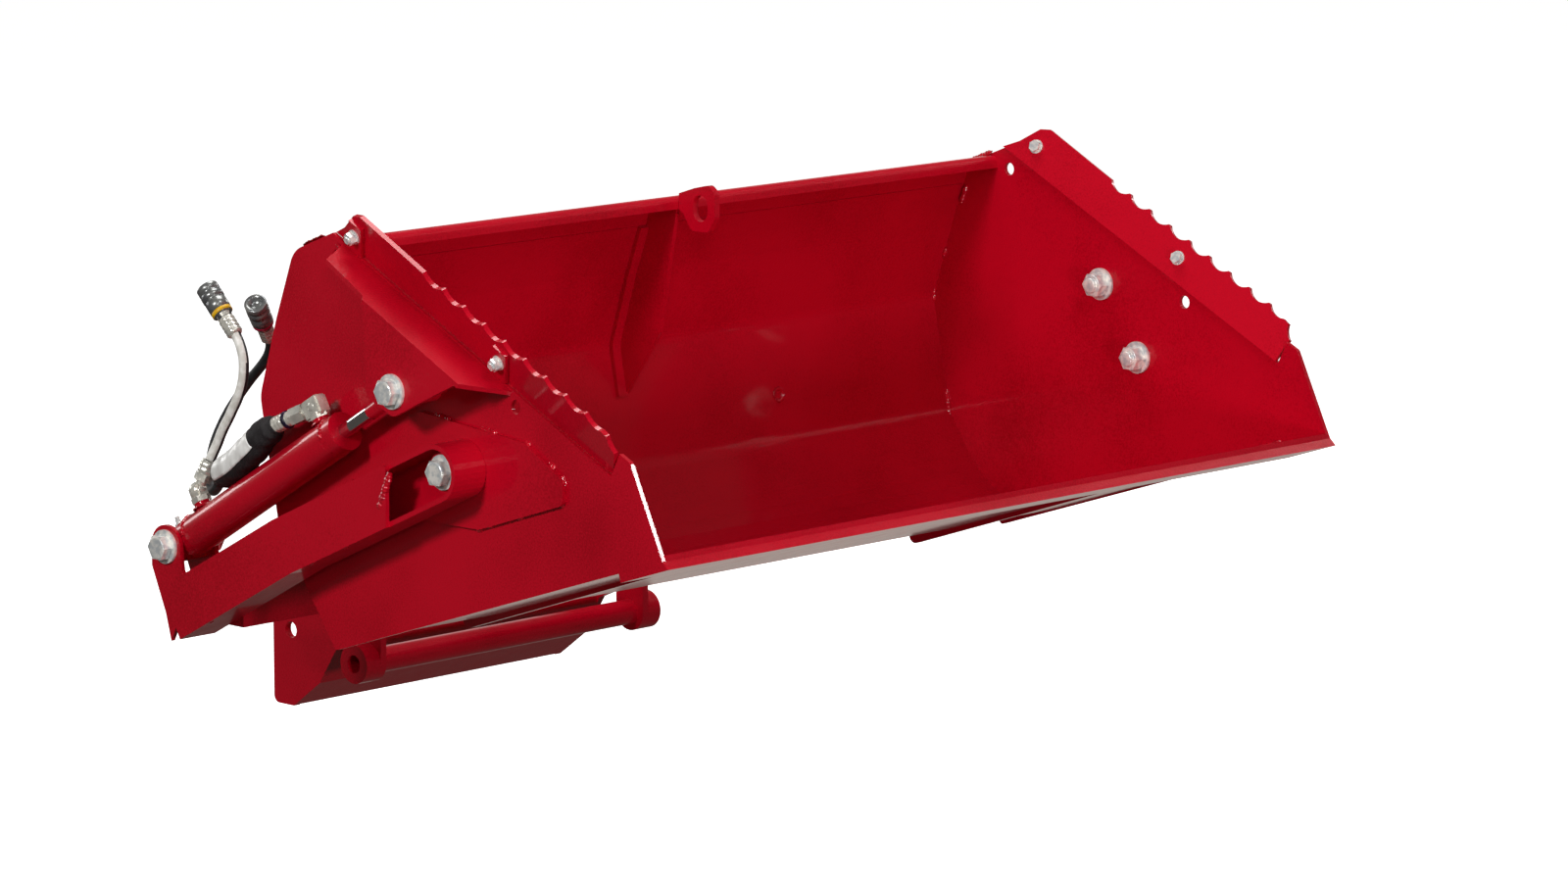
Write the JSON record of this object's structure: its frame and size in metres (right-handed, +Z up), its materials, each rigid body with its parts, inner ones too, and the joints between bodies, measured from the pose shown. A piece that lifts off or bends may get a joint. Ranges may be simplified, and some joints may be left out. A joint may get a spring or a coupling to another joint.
{
  "type": "snow bucket",
  "caption": "Front snow bucket with serrated bolt-on side edges, tipped by a hydraulic cylinder on each lift arm of its hitch frame.",
  "frame": {"origin": "middle of the hitch pin's axis", "axes": "+Z up; -Y forward, the way the bucket's mouth opens; +X to the operator's left along the hitch pin; the bucket is rolled back as in the picture"},
  "size_m": [1.377, 1.1095, 0.7406],
  "materials": {
    "red_paint": "semi-gloss",
    "zinc_steel": "zinc plated",
    "chrome_rod": "polished",
    "plated_fitting": "zinc plated",
    "hose_rubber": "matte"
  },
  "bodies": {
    "arm_frame": {"arm_right": "red_paint", "arm_left": "red_paint", "arm_cover_right": "red_paint", "arm_cover_left": "red_paint", "ear_plates": "red_paint", "cross_member": "red_paint", "pivot_bosses": "red_paint", "pivot_bolts": "zinc_steel", "pivot_nuts": "zinc_steel", "base_pin_bolts": "zinc_steel", "base_pin_nuts": "zinc_steel", "hitch_plate_right": "red_paint", "hitch_plate_left": "red_paint", "hitch_face": "red_paint", "hitch_tube": "red_paint", "tube_collars": "red_paint"},
    "bucket": {"bucket_shell": "red_paint", "side_plate_right": "red_paint", "side_plate_left": "red_paint", "top_rail": "red_paint", "tie_down_eye": "red_paint", "centre_gusset": "red_paint", "cutting_edge": "red_paint", "wear_runners": "red_paint", "serrated_edge_right": "red_paint", "serrated_edge_left": "red_paint", "edge_bolts": "zinc_steel", "edge_nuts": "zinc_steel", "doubler_right": "red_paint", "doubler_left": "red_paint", "cylinder_bracket_right": "red_paint", "cylinder_bracket_left": "red_paint", "rod_pin_spacers": "red_paint", "rod_pin_bolts": "zinc_steel", "rod_pin_nuts": "zinc_steel"},
    "barrel_right": {"barrel_right": "red_paint", "base_eye_right": "red_paint", "gland_right": "red_paint", "base_elbow_right": "plated_fitting", "rod_elbow_right": "plated_fitting", "hose_ferrules": "plated_fitting", "base_hose": "hose_rubber", "rod_hose": "hose_rubber", "hose_couplers": "plated_fitting", "grease_nipple_right": "zinc_steel"},
    "barrel_left": {"barrel_left": "red_paint", "base_eye_left": "red_paint", "gland_left": "red_paint", "base_elbow_left": "plated_fitting", "rod_elbow_left": "plated_fitting", "grease_nipple_left": "zinc_steel"},
    "rod_right": {"rod_right": "chrome_rod", "piston_right": "chrome_rod", "rod_eye_right": "red_paint"},
    "rod_left": {"rod_left": "chrome_rod", "piston_left": "chrome_rod", "rod_eye_left": "red_paint"}
  },
  "joints": [
    {"name": "bucket_tip", "type": "hinge", "parent": "arm_frame", "child": "bucket", "pos_m": [0, -0.74, 0.35], "axis": [1, 0, 0], "range_deg": [0, 50]},
    {"name": "cylinder_swing_right", "type": "hinge", "parent": "arm_frame", "child": "barrel_right", "pos_m": [0, -0.254, 0.201], "axis": [1, 0, 0], "range_deg": [0, 3.3]},
    {"name": "rod_stroke_right", "type": "slide", "parent": "barrel_right", "child": "rod_right", "axis": [0, -0.8624, 0.5062], "range_m": [0, 0.0936]},
    {"name": "cylinder_swing_left", "type": "hinge", "parent": "arm_frame", "child": "barrel_left", "pos_m": [0, -0.254, 0.201], "axis": [1, 0, 0], "range_deg": [0, 3.3]},
    {"name": "rod_stroke_left", "type": "slide", "parent": "barrel_left", "child": "rod_left", "axis": [0, -0.8624, 0.5062], "range_m": [0, 0.0936]}
  ],
  "couplings": [
    {"joint": "cylinder_swing_right", "follows": "bucket_tip", "ratio": 0.06526},
    {"joint": "rod_stroke_right", "follows": "bucket_tip", "m_per_rad": 0.10713},
    {"joint": "cylinder_swing_left", "follows": "bucket_tip", "ratio": 0.06526},
    {"joint": "rod_stroke_left", "follows": "bucket_tip", "m_per_rad": 0.10713}
  ]
}
